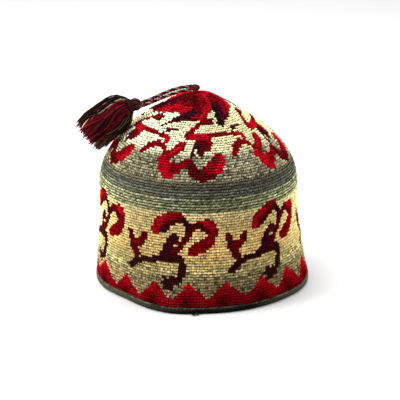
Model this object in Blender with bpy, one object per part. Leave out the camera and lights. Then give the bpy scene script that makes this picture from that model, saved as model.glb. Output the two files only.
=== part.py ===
"""Smoking cap: a tall crocheted dome on a rolled hem, with a tassel on two short cords from its crown.

Metres, +Z up. The cap stands on its opening: the origin is the middle of the hem on the surface it
rests on, and its face looks towards -Y. The fabric, the hem, the knot and the tassel are closed solids.
"""

import functools
import math

import bmesh
import bpy
import numpy as np

MM = 0.001

# Fabric and hem
WALL = 3.2 * MM
HEM_HEIGHT = 6.0 * MM
AROUND = 72
RINGS = 22
INNER_RINGS = 18
SHARP_ANGLE = math.radians(50)
# Under this radius the dents fade out, so that the crown closes at one point.
DENT_FADE_RADIUS = 30 * MM

# The outside of the fabric, from the hem to the middle of the crown (mm): the height of a place on
# it, its radius there, and how far its round section is shifted towards +X.
PROFILE = (
    # place          height  radius  shift
    ("fabric_foot",     6.3,   95.0,   0.0),
    ("above_hem",      20.0,   93.2,  -1.0),
    ("lower_side",     40.0,   91.1,  -1.8),
    ("upper_side",     60.0,   88.8,  -2.7),
    ("under_band",     76.0,   88.1,  -3.2),
    ("band",           92.0,   87.9,  -3.2),
    ("shoulder",      104.0,   85.6,  -3.1),
    ("lower_dome",    116.0,   80.4,  -3.2),
    ("mid_dome",      128.0,   71.8,  -3.8),
    ("upper_dome",    140.0,   58.6,  -5.2),
    ("crown_slope",   150.0,   44.4,  -6.0),
    ("crown",         159.0,   29.3,  -5.2),
    ("crown_top",     166.2,   15.2,  -3.6),
    ("apex",          171.4,    0.0,  -2.9),
)

# Soft dents (-) and bulges (+) of the fabric: azimuth from +X (degrees), height, depth, and how far
# each spreads around (degrees) and up (mm).
DENTS = (
    # place           azimuth  height  depth  around  up
    ("left_front_flat",   222,    4.0,  -3.6,     14,  30),
    ("front_bulge",       254,    2.0,   3.4,     14,  22),
    ("right_bulge",       338,    2.0,   2.2,     16,  22),
    ("left_pinch",        180,   58.0,  -1.2,     20,  10),
    ("back_hollow",        70,   60.0,  -2.0,     26,  30),
)

# Section of the rolled hem: distance outwards from the middle of the fabric's foot, and height (mm).
HEM_SECTION = (
    (-1.7, 0.0), (1.4, 0.0), (2.3, 1.2), (2.6, 3.0), (2.3, 4.8), (1.5, 5.8),
    (-1.4, 6.0), (-2.3, 4.9), (-2.6, 3.0), (-2.3, 1.2),
)

# Knot where the cords leave the crown
KNOT_CENTRE = np.array((-6.1, -0.4, 174.4)) * MM
KNOT_RADII = np.array((4.5, 4.2, 2.9)) * MM

# Cords, from the knot to the tassel's head (mm)
CORD_DIAMETER = 3.2 * MM
CORD_POINTS = 22
CORD_ROUTES = {
    "cord_upper": (
        (-11.0, 1.0, 175.2), (-19.0, 0.2, 174.2), (-28.0, -1.0, 171.7),
        (-37.0, -2.0, 168.1), (-45.5, -3.0, 164.4), (-52.3, -3.6, 161.9),
    ),
    "cord_lower": (
        (-11.2, -1.6, 172.8), (-19.5, -2.9, 171.3), (-28.1, -4.1, 168.8),
        (-37.0, -5.2, 165.5), (-45.6, -6.1, 162.0), (-52.3, -6.4, 159.5),
    ),
}

# Tassel: its wound head, and the skirt's sections along the way from the head to the ends (mm).
# Each row is the middle of the skirt there, its half width in the plane that it hangs in, and its
# half depth across that plane.
HEAD_CENTRE = np.array((-58.7, -5.0, 160.3)) * MM
HEAD_RADII = np.array((5.9, 5.6, 5.8)) * MM
SKIRT = (
    # place        x      y      z   half_width  half_depth
    ("neck",     -60.8,  -5.5, 160.6,    3.6,       3.6),
    ("swell",    -66.0,  -7.0, 158.6,   12.0,       8.6),
    ("belly",    -74.5,  -8.5, 153.6,   17.2,      11.8),
    ("middle",   -85.0,  -9.0, 145.2,   18.0,      12.6),
    ("ends",    -101.0,  -9.0, 131.5,   17.4,      12.4),
)
CORE_SHARE = 0.74
CORE_REACH = 0.86
CORE_POINTS = 8
CORE_SIDES = 16
LOCK_RADIUS = 3.9 * MM
LOCK_SEAT = 0.76
LOCK_NECK_SEAT = 0.9
LOCK_START = 0.03
LOCK_POINTS = 8
LOCK_SIDES = 8
# A lock is fullest halfway and narrows to these shares of a half turn of a sine at its two ends.
LOCK_TAPER = (0.16, 0.84)
LOCK_FULLNESS = 0.7
LOCK_SCATTER = 0.12
TASSEL_CLEARANCE = 0.6 * MM
# How far along the skirt each lock reaches, going once around it from the top.
LOCK_REACH = (0.97, 0.90, 1.00, 0.93, 0.98, 0.90, 0.95, 0.99, 0.92, 0.97, 0.91, 1.00, 0.94)

COLOURS = {
    # slot            base colour            roughness
    "crochet_wool": ((0.62, 0.53, 0.36, 1.0), 0.95),
    "hem_wool":     ((0.05, 0.06, 0.05, 1.0), 0.95),
    "cord_wool":    ((0.09, 0.03, 0.03, 1.0), 0.90),
    "tassel_wool":  ((0.10, 0.01, 0.02, 1.0), 0.90),
}


def curve_through(knots, values, at):
    """Smooth curve through the rows of values, one at each knot, read at the places given.

    Between two knots it is the cubic that takes its slopes from the neighbouring rows."""
    knots = np.asarray(knots, float)
    values = np.asarray(values, float)
    at = np.atleast_1d(np.asarray(at, float))
    slopes = np.gradient(values, knots, axis=0)
    span = np.clip(np.searchsorted(knots, at, side="right") - 1, 0, len(knots) - 2)
    width = knots[span + 1] - knots[span]
    t = (at - knots[span]) / width
    if values.ndim > 1:
        t = t[:, None]
        width = width[:, None]
    before = values[span] * (1 + 2 * t) * (1 - t) ** 2 + slopes[span] * width * t * (1 - t) ** 2
    after = values[span + 1] * t**2 * (3 - 2 * t) - slopes[span + 1] * width * t**2 * (1 - t)
    return before + after


def chord_knots(points):
    """Share of the way along a row of points, from 0 to 1, by straight steps between them."""
    steps = np.linalg.norm(np.diff(points, axis=0), axis=1)
    way = np.concatenate([[0.0], np.cumsum(steps)])
    return way / way[-1]


def profile_at(share):
    """Radius, height and shift of the fabric's outside at shares of the way from hem to apex."""
    rows = np.array([row[1:] for row in PROFILE]) * MM
    knots = chord_knots(rows[:, :2])
    height, radius, shift = curve_through(knots, rows, share).T
    return np.maximum(radius, 0.0), height, shift


def dents_at(azimuth, height):
    """How far the dents and bulges move the fabric outwards at an azimuth (radians) and height."""
    moved = np.zeros(np.broadcast(azimuth, height).shape)
    for _, centre, level, depth, around, up in DENTS:
        turn = (np.degrees(azimuth) - centre + 180) % 360 - 180
        moved += depth * MM * np.exp(-((turn / around) ** 2) - ((height - level * MM) / (up * MM)) ** 2)
    return moved


def fabric_point(radius, height, shift, azimuth):
    """Points of the fabric on rounds of this radius, height and shift, with the dents in them."""
    moved = dents_at(azimuth, height) * np.minimum(1.0, radius / DENT_FADE_RADIUS)
    x = shift + (radius + moved) * np.cos(azimuth) - hem_middle()[0]
    y = (radius + moved) * np.sin(azimuth) - hem_middle()[1]
    return np.stack([x, y, np.broadcast_to(height, x.shape)], axis=-1)


def azimuths():
    return np.linspace(0, math.tau, AROUND, endpoint=False)


@functools.cache
def hem_middle():
    """Middle of the box around the hem's outline, which the whole cap is moved by to stand centred."""
    widest = max(out for out, _ in HEM_SECTION) * MM
    outline = PROFILE[0][2] * MM - WALL / 2 + widest + dents_at(azimuths(), HEM_HEIGHT / 2)
    x = outline * np.cos(azimuths())
    y = outline * np.sin(azimuths())
    return (x.max() + x.min()) / 2, (y.max() + y.min()) / 2


def wool(slot):
    """Matte wool material of this slot's colour."""
    colour, roughness = COLOURS[slot]
    material = bpy.data.materials.get(slot) or bpy.data.materials.new(slot)
    material.use_nodes = True
    shader = material.node_tree.nodes["Principled BSDF"]
    shader.inputs["Base Color"].default_value = colour
    shader.inputs["Roughness"].default_value = roughness
    material.diffuse_color = colour
    return material


def new_object(name, data, slot):
    data.materials.append(wool(slot))
    thing = bpy.data.objects.new(name, data)
    bpy.context.scene.collection.objects.link(thing)
    return thing


def ring_faces(rings, around, closed_along=False):
    """Quads between successive rings of points, and from the last ring to the first when closed."""
    last = rings if closed_along else rings - 1
    return [
        (
            i * around + j,
            i * around + (j + 1) % around,
            ((i + 1) % rings) * around + (j + 1) % around,
            ((i + 1) % rings) * around + j,
        )
        for i in range(last)
        for j in range(around)
    ]


def mesh_object(name, points, faces, slot):
    """Object of one closed mesh with its faces turned outwards and its rounds shaded smooth."""
    mesh = bpy.data.meshes.new(name)
    mesh.from_pydata(np.asarray(points, float).tolist(), [], faces)
    shape = bmesh.new()
    shape.from_mesh(mesh)
    bmesh.ops.recalc_face_normals(shape, faces=shape.faces)
    shape.to_mesh(mesh)
    shape.free()
    mesh.shade_smooth()
    mesh.set_sharp_from_angle(angle=SHARP_ANGLE)
    return new_object(name, mesh, slot)


def cap_body():
    """The crocheted fabric: its outside, its inside one wall further in, and the ring of its foot."""
    radius, height, shift = (values[:-1] for values in profile_at(np.linspace(0, 1, RINGS + 1)))
    outside = fabric_point(radius[:, None], height[:, None], shift[:, None], azimuths()[None, :])
    share = np.linspace(0, 1, INNER_RINGS + 1)
    radius, height, shift = profile_at(share)
    run = np.gradient(radius, share)
    rise = np.gradient(height, share)
    length = np.hypot(run, rise)
    inner_radius = (radius - WALL * rise / length)[:-1]
    inner_height = (height + WALL * run / length)[:-1]
    inner_height[0] = height[0]
    inside = fabric_point(
        inner_radius[:, None], inner_height[:, None], shift[:-1, None], azimuths()[None, :]
    )
    apex_x = PROFILE[-1][3] * MM - hem_middle()[0]
    apex = np.array((apex_x, -hem_middle()[1], PROFILE[-1][1] * MM))
    rounds = np.concatenate([inside[::-1], outside]).reshape(-1, 3)
    count = len(inside) + len(outside)
    faces = ring_faces(count, AROUND)
    tip_in = count * AROUND
    tip_out = tip_in + 1
    top = (count - 1) * AROUND
    faces += [(tip_in, (j + 1) % AROUND, j) for j in range(AROUND)]
    faces += [(tip_out, top + j, top + (j + 1) % AROUND) for j in range(AROUND)]
    points = np.concatenate([rounds, [apex - (0, 0, WALL)], [apex]])
    return mesh_object("cap_body", points, faces, "crochet_wool")


def hem_edging():
    """The rolled edging: one section carried around the foot of the fabric, flat where it rests."""
    out, up = np.array(HEM_SECTION).T * MM
    foot_radius = PROFILE[0][2] * MM - WALL / 2
    foot_shift = PROFILE[0][3] * MM
    angle = azimuths()[:, None]
    middle = foot_radius + dents_at(angle, HEM_HEIGHT / 2) + out
    x = foot_shift + middle * np.cos(angle) - hem_middle()[0]
    y = middle * np.sin(angle) - hem_middle()[1]
    points = np.stack([x, y, np.broadcast_to(up, x.shape)], axis=-1).reshape(-1, 3)
    return mesh_object("hem_edging", points, ring_faces(AROUND, len(out), closed_along=True), "hem_wool")


def ball(name, centre, radii, slot, segments=16, rings=10):
    """Rounded solid of these three half sizes."""
    shape = bmesh.new()
    bmesh.ops.create_uvsphere(shape, u_segments=segments, v_segments=rings, radius=1.0)
    bmesh.ops.scale(shape, vec=tuple(radii), verts=shape.verts)
    bmesh.ops.translate(shape, vec=tuple(centre), verts=shape.verts)
    mesh = bpy.data.meshes.new(name)
    shape.to_mesh(mesh)
    shape.free()
    mesh.shade_smooth()
    return new_object(name, mesh, slot)


def cord(name):
    """Plain tube along a smooth curve through the cord's route."""
    route = np.array(CORD_ROUTES[name]) * MM
    points = curve_through(chord_knots(route), route, np.linspace(0, 1, CORD_POINTS))
    curve = bpy.data.curves.new(name, "CURVE")
    curve.dimensions = "3D"
    curve.bevel_depth = CORD_DIAMETER / 2
    curve.bevel_resolution = 2
    curve.use_fill_caps = True
    spline = curve.splines.new("POLY")
    spline.points.add(len(points) - 1)
    spline.points.foreach_set("co", np.column_stack([points, np.ones(len(points))]).ravel())
    return new_object(name, curve, "cord_wool")


def clear_of_fabric(points, distance):
    """The points, each moved out along the fabric's slope where it is nearer than the distance."""
    share = np.linspace(0, 1, 200)
    radius, height, shift = profile_at(share)
    run = np.gradient(radius, share)
    rise = np.gradient(height, share)
    length = np.hypot(run, rise)
    moved = np.array(points, float)
    for point in moved:
        out_x = point[0] + hem_middle()[0] - shift
        out_y = point[1] + hem_middle()[1]
        away = np.hypot(out_x, out_y)
        ahead = (away - radius) * rise / length - (point[2] - height) * run / length
        nearest = np.argmin((away - radius) ** 2 + (point[2] - height) ** 2)
        lack = max(0.0, distance - ahead[nearest])
        flat = np.array((out_x[nearest], out_y)) / away[nearest]
        point[:2] += flat * lack * rise[nearest] / length[nearest]
        point[2] -= lack * run[nearest] / length[nearest]
    return moved


def skirt_frame(share):
    """Middle, half sizes and the two cross directions of the skirt at shares of its length."""
    rows = np.array([row[1:] for row in SKIRT]) * MM
    middle = curve_through(chord_knots(rows[:, :3]), rows, share)
    along = np.gradient(middle[:, :3], axis=0)
    along /= np.linalg.norm(along, axis=1, keepdims=True)
    across = np.cross(along, (0.0, 1.0, 0.0))
    across /= np.linalg.norm(across, axis=1, keepdims=True)
    deep = np.cross(across, along)
    return middle[:, :3], middle[:, 3:4], middle[:, 4:5], across, deep


def tube(name, centres, radius_a, radius_b, side_a, side_b, sides, slot):
    """Closed tube of elliptical section along its centres, with a pole at each end."""
    angle = np.linspace(0, math.tau, sides, endpoint=False)[None, :, None]
    rounds = (
        centres[:, None, :]
        + np.cos(angle) * radius_a[:, None, :] * side_a[:, None, :]
        + np.sin(angle) * radius_b[:, None, :] * side_b[:, None, :]
    ).reshape(-1, 3)
    faces = ring_faces(len(centres), sides)
    first = len(rounds)
    faces += [(first, (j + 1) % sides, j) for j in range(sides)]
    top = (len(centres) - 1) * sides
    faces += [(first + 1, top + j, top + (j + 1) % sides) for j in range(sides)]
    poles = np.array((centres[0], centres[-1]))
    return mesh_object(name, np.concatenate([rounds, poles]), faces, slot)


def skirt_core():
    """Body of the skirt behind its locks, ending short of them."""
    middle, wide, deep, across, depth_way = skirt_frame(np.linspace(0, CORE_REACH, CORE_POINTS))
    wide = wide * CORE_SHARE
    deep = deep * CORE_SHARE
    return tube("tassel_core", middle, wide, deep, across, depth_way, CORE_SIDES, "tassel_wool")


def skirt_lock(index):
    """One lock of the skirt: it leaves the head, follows the outside and ends at its own reach."""
    turn = math.tau * index / len(LOCK_REACH) + LOCK_SCATTER * math.sin(5.0 * index)
    share = np.linspace(LOCK_START, LOCK_REACH[index], LOCK_POINTS)
    middle, wide, deep, across, depth_way = skirt_frame(share)
    seat = LOCK_SEAT * np.linspace(LOCK_NECK_SEAT, 1.0, LOCK_POINTS)[:, None]
    centres = middle + seat * (math.cos(turn) * wide * across + math.sin(turn) * deep * depth_way)
    radius = LOCK_RADIUS * np.sin(np.pi * np.linspace(*LOCK_TAPER, LOCK_POINTS))[:, None] ** LOCK_FULLNESS
    centres = clear_of_fabric(centres, LOCK_RADIUS + TASSEL_CLEARANCE)
    return tube(
        f"tassel_lock_{index}", centres, radius, radius, across, depth_way, LOCK_SIDES, "tassel_wool"
    )


def tassel():
    """Head, core and locks joined into one closed solid."""
    whole = ball("tassel", HEAD_CENTRE, HEAD_RADII, "tassel_wool", 18, 12)
    shapes = [skirt_core()] + [skirt_lock(index) for index in range(len(LOCK_REACH))]
    for shape in shapes:
        joined = whole.modifiers.new(shape.name, "BOOLEAN")
        joined.operation = "UNION"
        joined.solver = "MANIFOLD"
        joined.object = shape
        shape.hide_render = True
        shape.display_type = "WIRE"
    return whole


def main():
    for thing in list(bpy.data.objects):
        bpy.data.objects.remove(thing, do_unlink=True)
    cap_body()
    hem_edging()
    ball("crown_knot", KNOT_CENTRE, KNOT_RADII, "cord_wool")
    for name in CORD_ROUTES:
        cord(name)
    tassel()


main()
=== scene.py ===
# %% [markdown]
# # A crocheted smoking cap
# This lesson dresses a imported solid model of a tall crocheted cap. The solids give the places and
# sizes; every cell below builds one part of the looks on them: the twisted cords, the stitches, the
# wall behind them, the rolled hem, the crown knot and the tassel, then the wool that covers them all.

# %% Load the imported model
import math

import bpy
import numpy as np
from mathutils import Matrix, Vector


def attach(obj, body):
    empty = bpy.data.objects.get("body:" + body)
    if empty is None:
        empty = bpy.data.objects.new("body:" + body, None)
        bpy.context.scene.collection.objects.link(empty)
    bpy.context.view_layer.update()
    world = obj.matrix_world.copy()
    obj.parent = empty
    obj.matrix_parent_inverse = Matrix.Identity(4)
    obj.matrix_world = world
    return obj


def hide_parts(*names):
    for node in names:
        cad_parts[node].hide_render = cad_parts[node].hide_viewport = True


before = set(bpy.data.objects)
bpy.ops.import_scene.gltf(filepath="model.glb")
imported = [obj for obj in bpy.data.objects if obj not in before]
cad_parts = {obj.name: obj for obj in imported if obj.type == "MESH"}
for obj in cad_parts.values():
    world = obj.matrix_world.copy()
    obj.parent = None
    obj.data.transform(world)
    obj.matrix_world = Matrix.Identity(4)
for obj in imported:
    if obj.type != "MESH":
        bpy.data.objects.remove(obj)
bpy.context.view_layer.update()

MM = 0.001
print("solids:", ", ".join(sorted(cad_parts)))

# %% [markdown]
# ## The camera
# The photograph looks down on the cap from a little above its crown, with a long lens, so the cap
# shows almost no perspective. A camera 1.35 m away with a 135 mm lens gives that view. It is made
# first; the routes of the free cords were read off against what it sees.

# %% Camera
def place_in_scene(name, data, place, target):
    """Put a camera or a lamp at its place in the scene and turn it to its target."""
    made = bpy.data.objects.new(name, data)
    made.location = place
    made.rotation_euler = (Vector(target) - Vector(place)).to_track_quat("-Z", "Y").to_euler()
    bpy.context.scene.collection.objects.link(made)
    return made


VIEW_FROM = Vector((-0.0018, -1.274, 0.510))
VIEW_AIM = Vector((-0.0018, 0.0, 0.0703))
camera_data = bpy.data.cameras.new("front_view")
camera_data.lens = 135.27
camera_data.sensor_width = 36.0
bpy.context.scene.camera = place_in_scene("front_view", camera_data, VIEW_FROM, VIEW_AIM)
bpy.context.scene.view_settings.view_transform = "Standard"
print("camera distance in m:", round((VIEW_AIM - VIEW_FROM).length, 3))

# %% [markdown]
# ## Yarn as a surface
# Everything on this cap is yarn, so one helper does most of the work. A yarn is a round profile
# carried along a path. Many yarns are worked out at once as one numpy array of the shape
# (yarn, ring, point of the ring, coordinate), which is far quicker than a loop over vertices.

# %% Mesh from arrays
def surface_mesh(name, points, faces, corner_uv=None, **values):
    """A mesh object from arrays of points and of three- and four-cornered faces.
    corner_uv holds one array of corner positions for each array of faces. The values have one number
    or one color of three parts for each point."""
    mesh = bpy.data.meshes.new(name)
    points = np.ascontiguousarray(points, dtype=np.float32).reshape(-1, 3)
    sizes = np.concatenate([np.full(len(part), part.shape[1]) for part in faces])
    corners = np.concatenate([part.ravel() for part in faces]).astype(np.int32)
    mesh.vertices.add(len(points))
    mesh.vertices.foreach_set("co", points.ravel())
    mesh.loops.add(len(corners))
    mesh.loops.foreach_set("vertex_index", corners)
    mesh.polygons.add(len(sizes))
    starts = np.concatenate([[0], np.cumsum(sizes)[:-1]]).astype(np.int32)
    mesh.polygons.foreach_set("loop_start", starts)
    mesh.polygons.foreach_set("loop_total", sizes.astype(np.int32))
    mesh.polygons.foreach_set("use_smooth", np.ones(len(sizes), bool))
    if corner_uv is not None:
        layer = mesh.uv_layers.new(name="yarn")
        flat = np.concatenate([part.reshape(-1, 2) for part in corner_uv]).astype(np.float32)
        layer.data.foreach_set("uv", flat.ravel())
    for value_name, value in values.items():
        value = np.asarray(value, np.float32)
        is_color = value.ndim > 1
        if is_color:
            value = np.column_stack([value.reshape(-1, 3), np.ones(len(points), np.float32)])
        attribute = mesh.attributes.new(value_name, "FLOAT_COLOR" if is_color else "FLOAT", "POINT")
        attribute.data.foreach_set("color" if is_color else "value", value.ravel())
    mesh.update(calc_edges=True)
    mesh.validate()
    made = bpy.data.objects.new(name, mesh)
    bpy.context.scene.collection.objects.link(made)
    return made


def unit(vectors):
    """Vectors divided by their own lengths."""
    return vectors / np.maximum(np.linalg.norm(vectors, axis=-1, keepdims=True), 1e-12)


# %% Faces of rings
def grid_quads(rings, around, first=0):
    """Four-cornered faces between neighbouring rings of points, numbered ring by ring from first."""
    ring = np.arange(rings - 1)[:, None] * around + first
    here = np.arange(around)
    there = (here + 1) % around
    return np.stack([ring + here, ring + there, ring + around + there, ring + around + here], axis=-1)


def pole_fans(start, first, end, last, around):
    """Three-cornered faces that close a tube: from the start pole to the ring whose points begin at
    number first, and from the end pole to the ring whose points begin at number last."""
    here = np.arange(around)
    there = (here + 1) % around
    return np.concatenate([np.stack([np.full(around, start), first + there, first + here], axis=-1),
                           np.stack([np.full(around, end), last + here, last + there], axis=-1)])


def corner_places(*corners):
    """UV of the corners of many faces, from a U and a V for each corner."""
    return np.stack([np.stack(np.broadcast_arrays(u, v), axis=-1) for u, v in corners], axis=-2)


# %% Yarns along paths
def yarns(name, paths, radii, side, sides, tone, dye, shade=1.0):
    """Closed tubes along many paths of the same number of points.
    ring point = path point + radius * (cos(turn) * side + sin(turn) * up), up = direction x side.
    The first and last point of a path are the poles that close its tube. There is a tone and a dye
    for each yarn. shade multiplies the dye from point to point of a path: it is painted shade where a
    stitch's leg tucks under its neighbours and painted light in the middle of the leg, and it makes a
    tassel strand paler at its frayed tip."""
    paths = np.asarray(paths, float)
    count, length, _ = paths.shape
    radii = np.broadcast_to(radii, (count, length))
    along = unit(np.gradient(paths, axis=1))
    side = np.broadcast_to(side, paths.shape)
    side = unit(side - (side * along).sum(-1, keepdims=True) * along)
    up = np.cross(along, side)
    turn = np.arange(sides) / sides * math.tau
    circle = np.cos(turn)[:, None] * side[:, 1:-1, None] + np.sin(turn)[:, None] * up[:, 1:-1, None]
    rings = paths[:, 1:-1, None] + radii[:, 1:-1, None, None] * circle
    points = np.concatenate([paths[:, :1], rings.reshape(count, -1, 3), paths[:, -1:]], axis=1)
    per_yarn = points.shape[1]
    quads = grid_quads(length - 2, sides, 1)
    fans = pole_fans(0, 1, per_yarn - 1, (length - 3) * sides + 1, sides)
    base = (np.arange(count) * per_yarn)[:, None, None]
    faces = [(quads.reshape(1, -1, 4) + base).reshape(-1, 4), (fans[None] + base).reshape(-1, 3)]
    step = np.linalg.norm(np.diff(paths, axis=1), axis=-1)
    way = np.concatenate([np.zeros((count, 1)), np.cumsum(step, axis=1)], axis=1) / MM
    low, high = np.arange(sides) / sides, (np.arange(sides) + 1) / sides
    near, far, middle = way[:, 1:-2, None], way[:, 2:-1, None], (low + high) / 2
    quad_uv = corner_places((near, low), (near, high), (far, high), (far, low))
    fan_uv = np.stack([
        corner_places((way[:, :1], middle), (way[:, 1:2], high), (way[:, 1:2], low)),
        corner_places((way[:, -1:], middle), (way[:, -2:-1], low), (way[:, -2:-1], high)),
    ], axis=1)
    shade = np.broadcast_to(shade, (count, length))
    shade = np.concatenate([shade[:, :1], np.repeat(shade[:, 1:-1], sides, axis=1), shade[:, -1:]], 1)
    dyed = np.clip(np.asarray(dye)[:, None] * shade[..., None], 0, 1)
    return surface_mesh(name, points, faces, [quad_uv, fan_uv], tone=np.repeat(tone, per_yarn), dye=dyed)


# %% Smooth curves
def curve_through(knots, values, at):
    """Smooth curve through values at the knots: cubic spans, with the slope at a knot taken from the
    values on both sides of it."""
    knots, values, at = (np.asarray(part, float) for part in (knots, values, at))
    slopes = np.gradient(values, knots, axis=0)
    span = np.clip(np.searchsorted(knots, at, side="right") - 1, 0, len(knots) - 2)
    width = knots[span + 1] - knots[span]
    t = (at - knots[span]) / width
    if values.ndim > 1:
        t, width = t[:, None], width[:, None]
    before = values[span] * (1 + 2 * t) * (1 - t) ** 2 + slopes[span] * width * t * (1 - t) ** 2
    after = values[span + 1] * t**2 * (3 - 2 * t) - slopes[span + 1] * width * t**2 * (1 - t)
    return before + after


def way_along(points):
    """Way along a line of points, from its first point to each of them."""
    return np.concatenate([[0.0], np.cumsum(np.linalg.norm(np.diff(points, axis=0), axis=1))])


def chord_knots(points):
    """Share of the straight way from point to point that each point lies at."""
    way = way_along(points)
    return way / way[-1]


# %% [markdown]
# ## The two cords
# Two short cords of twisted wool run from the knot at the crown down to the head of the tassel. Each
# is laid up from three strands, two dark and one paler, and lies against the slope of the dome.

# %% Cord routes and strands
CORD_DIAMETER = 3.2 * MM
CORD_ROUTES = {
    "cord_upper": ((-11.0, 1.0, 175.2), (-19.0, 0.2, 174.2), (-28.0, -1.0, 171.7),
                   (-37.0, -2.0, 168.1), (-45.5, -3.0, 164.4), (-52.3, -3.6, 161.9)),
    "cord_lower": ((-11.2, -1.6, 172.8), (-19.5, -2.9, 171.3), (-28.1, -4.1, 168.8),
                   (-37.0, -5.2, 165.5), (-45.6, -6.1, 162.0), (-52.3, -6.4, 159.5)),
}
CORD_TWIST_LENGTH = 8.5 * MM
STRAND_SEAT = 0.262 * CORD_DIAMETER
STRAND_RADIUS = 0.245 * CORD_DIAMETER
STRAND_DYES = np.array(((0.075, 0.008, 0.010), (0.016, 0.005, 0.004), (0.25, 0.120, 0.090)))
CORD_SUNK = np.array((1.2, 2.4, 3.0)) * MM


def cord_strands(route, points=140):
    """Three strands turning round a cord's middle line: strand point = line + seat * (cos(a) * side
    + sin(a) * up), a = 2 pi (way / twist length + strand / 3)."""
    line = curve_through(chord_knots(route), route, np.linspace(0, 1, points))
    first, last = unit(line[0] - line[1]), unit(line[-1] - line[-2])
    line = np.concatenate([line[0] + CORD_SUNK[::-1, None] * first, line,
                           line[-1] + CORD_SUNK[:, None] * last])
    along = unit(np.gradient(line, axis=0))
    side = unit(np.cross(along, (0.0, 1.0, 0.0)))
    up = np.cross(along, side)
    way = way_along(line)
    turn = math.tau * (way / CORD_TWIST_LENGTH + np.arange(3)[:, None] / 3)
    out = np.cos(turn)[..., None] * side + np.sin(turn)[..., None] * up
    return line + STRAND_SEAT * out, out, line[3:-3], way[-4] - way[3]


cords = {}
for name, route in CORD_ROUTES.items():
    route = np.array(route) * MM
    strands, outward, line, cord_length = cord_strands(route)
    ends = np.ones(strands.shape[1])
    ends[[1, -2]] = 0.8
    cord = yarns(name + "_twisted", strands, STRAND_RADIUS * ends, outward, 8, np.zeros(3), STRAND_DYES)
    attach(cord, "root")
    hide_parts(name)
    cords[name] = (cord, line, cord_length)
    print(cord.name, "length in mm:", round(cord_length / MM, 1), "faces:", len(cord.data.polygons))

# %% [markdown]
# ## The form of the fabric
# The cap is worked in rounds from the crown down to the hem, so its surface is a function of two
# parameters: the way up from the foot of the fabric, and the azimuth round the cap. The same profile
# and the same soft dents as in the solids are used, so that the stitches lie on the solid's surface.

# %% Fabric surface
WALL = 3.2 * MM
HEM_HEIGHT = 6.0 * MM
HEM_WIDEST = 2.6 * MM
DENT_FADE_RADIUS = 30 * MM
PROFILE = np.array((
    # height, radius, shift to the right
    (6.3, 95.0, 0.0), (20.0, 93.2, -1.0), (40.0, 91.1, -1.8), (60.0, 88.8, -2.7), (76.0, 88.1, -3.2),
    (92.0, 87.9, -3.2), (104.0, 85.6, -3.1), (116.0, 80.4, -3.2), (128.0, 71.8, -3.8),
    (140.0, 58.6, -5.2), (150.0, 44.4, -6.0), (159.0, 29.3, -5.2), (166.2, 15.2, -3.6),
    (171.4, 0.0, -2.9),
)) * MM
DENTS = (
    # azimuth, height, depth, spread around, spread up
    (222, 4.0, -3.6, 14, 30), (254, 2.0, 3.4, 14, 22), (338, 2.0, 2.2, 16, 22),
    (180, 58.0, -1.2, 20, 10), (70, 60.0, -2.0, 26, 30),
)
FINE_SHARE = np.linspace(0, 1, 2000)
FINE = curve_through(chord_knots(PROFILE[:, :2]), PROFILE, FINE_SHARE)
FINE[:, 1] = np.maximum(FINE[:, 1], 0.0)
FINE_WAY = np.concatenate([[0.0], np.cumsum(np.hypot(*np.diff(FINE[:, :2], axis=0).T))])
WHOLE_WAY = FINE_WAY[-1]


def dents_at(azimuth, height):
    """Sum of bell-shaped dents: depth * exp(-(turn / spread)^2 - (rise / spread)^2)."""
    moved = np.zeros(np.broadcast(azimuth, height).shape)
    for centre, level, depth, around, up in DENTS:
        turn = (np.degrees(azimuth) - centre + 180) % 360 - 180
        moved += depth * MM * np.exp(-((turn / around) ** 2) - ((height / MM - level) / up) ** 2)
    return moved


hem_azimuth = np.linspace(0, math.tau, 72, endpoint=False)
hem_outline = PROFILE[0, 1] - WALL / 2 + HEM_WIDEST + dents_at(hem_azimuth, HEM_HEIGHT / 2)
hem_x, hem_y = hem_outline * np.cos(hem_azimuth), hem_outline * np.sin(hem_azimuth)
HEM_MIDDLE = ((hem_x.max() + hem_x.min()) / 2, (hem_y.max() + hem_y.min()) / 2)


def radius_at(way):
    """Radius of the fabric at a way up from its foot."""
    return np.interp(way, FINE_WAY, FINE[:, 1])


def point_at(radius, azimuth, height, shift=0.0):
    """Point at a radius, an azimuth and a height, with the middle of the hem at the origin."""
    x = shift + radius * np.cos(azimuth) - HEM_MIDDLE[0]
    y = radius * np.sin(azimuth) - HEM_MIDDLE[1]
    return np.stack(np.broadcast_arrays(x, y, height), axis=-1)


def fabric_at(way, azimuth):
    """Point of the fabric's outside: the profile turned round, plus the dents, plus its shift."""
    height, radius, shift = (np.interp(way, FINE_WAY, FINE[:, column]) for column in range(3))
    radius = radius + dents_at(azimuth, height) * np.minimum(1.0, radius / DENT_FADE_RADIUS)
    return point_at(radius, azimuth, height, shift)


def outward_at(way, azimuth):
    """Outward direction: (a step round the cap) x (a step up the fabric)."""
    around = fabric_at(way, azimuth + 1e-4) - fabric_at(way, azimuth - 1e-4)
    upward = fabric_at(way + 1e-5, azimuth) - fabric_at(way - 1e-5, azimuth)
    return unit(np.cross(around, upward))


print("way from foot to crown in mm:", round(WHOLE_WAY / MM, 1))

# %% [markdown]
# ## Rounds and stitches
# The side has 252 stitches in every round. On the dome the rounds get shorter, so each has as many
# stitches as its own girth holds, in fives, because the dome is worked in five equal parts. The
# chart below is given in columns of two degrees and in rounds, as a maker would count them.

# %% Where every stitch is
COLUMNS = 180
ROUND = 2.36 * MM
SIDE_STITCHES = 252
DOME_STITCH_WIDTH = 2.30 * MM
DRIFT = 0.14  # shares of a stitch that each round starts further round than the last
BAND_ROUNDS = (35, 46)
BAND_STAGGER = 0.5
TOP_ROUND = int((WHOLE_WAY - 3.2 * MM) / ROUND)


def column_of(azimuth):
    """Chart column of an azimuth; column 0 is at the left of the cap and 45 in the middle of its front."""
    return (azimuth - math.pi) / math.tau * COLUMNS % COLUMNS


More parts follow.
